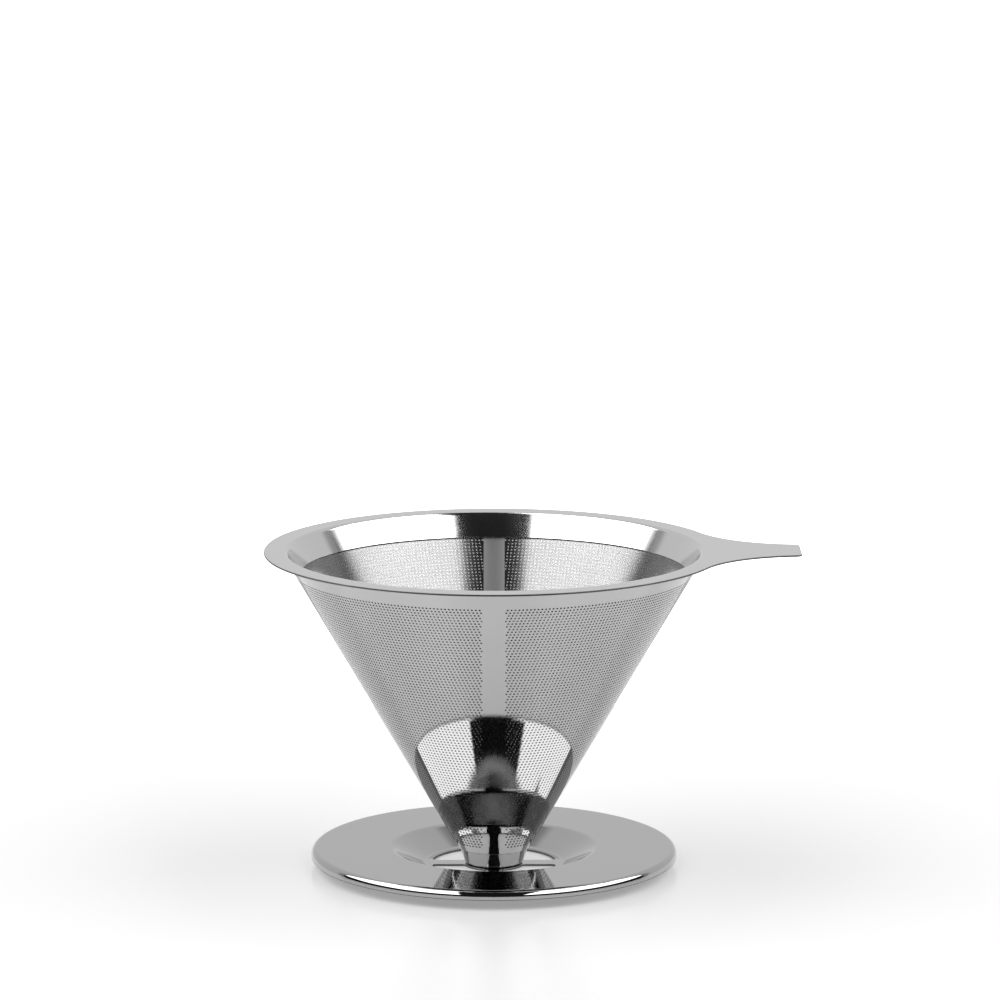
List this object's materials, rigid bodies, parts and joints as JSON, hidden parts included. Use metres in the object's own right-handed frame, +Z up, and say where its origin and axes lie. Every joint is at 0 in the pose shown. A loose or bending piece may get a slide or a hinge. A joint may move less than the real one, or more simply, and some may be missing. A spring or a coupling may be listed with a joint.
{
  "type": "pour over dripper",
  "caption": "Paperless pour over dripper: a two-layer steel filter cone with a flat rim and thumb tab, closed by a cap and welded to the cross of a round base that sits on a mug.",
  "frame": {"origin": "centre of the hub's underside, on the cone's axis, in the plane the dripper rests on", "axes": "+Z up along the cone's axis, +X towards the thumb tab, the outer cone's seam faces -Y"},
  "size_m": [0.1459, 0.125, 0.0879],
  "materials": {
    "rim_steel": "satin polished stainless steel",
    "filter_steel": "polished stainless steel with fine round holes",
    "mesh_steel": "finely woven stainless steel",
    "cap_steel": "polished stainless steel",
    "base_steel": "polished stainless steel",
    "weld_steel": "cleaned stainless steel weld"
  },
  "bodies": {
    "root": {"rim_flange": "rim_steel", "outer_cone": "filter_steel", "outer_seam_weld": "filter_steel", "inner_mesh_cone": "mesh_steel", "mesh_seam_lap": "mesh_steel", "bottom_cap": "cap_steel", "base_disc": "base_steel", "rim_weld": "weld_steel", "cap_weld": "weld_steel", "hub_spot_welds": "weld_steel"}
  },
  "joints": []
}
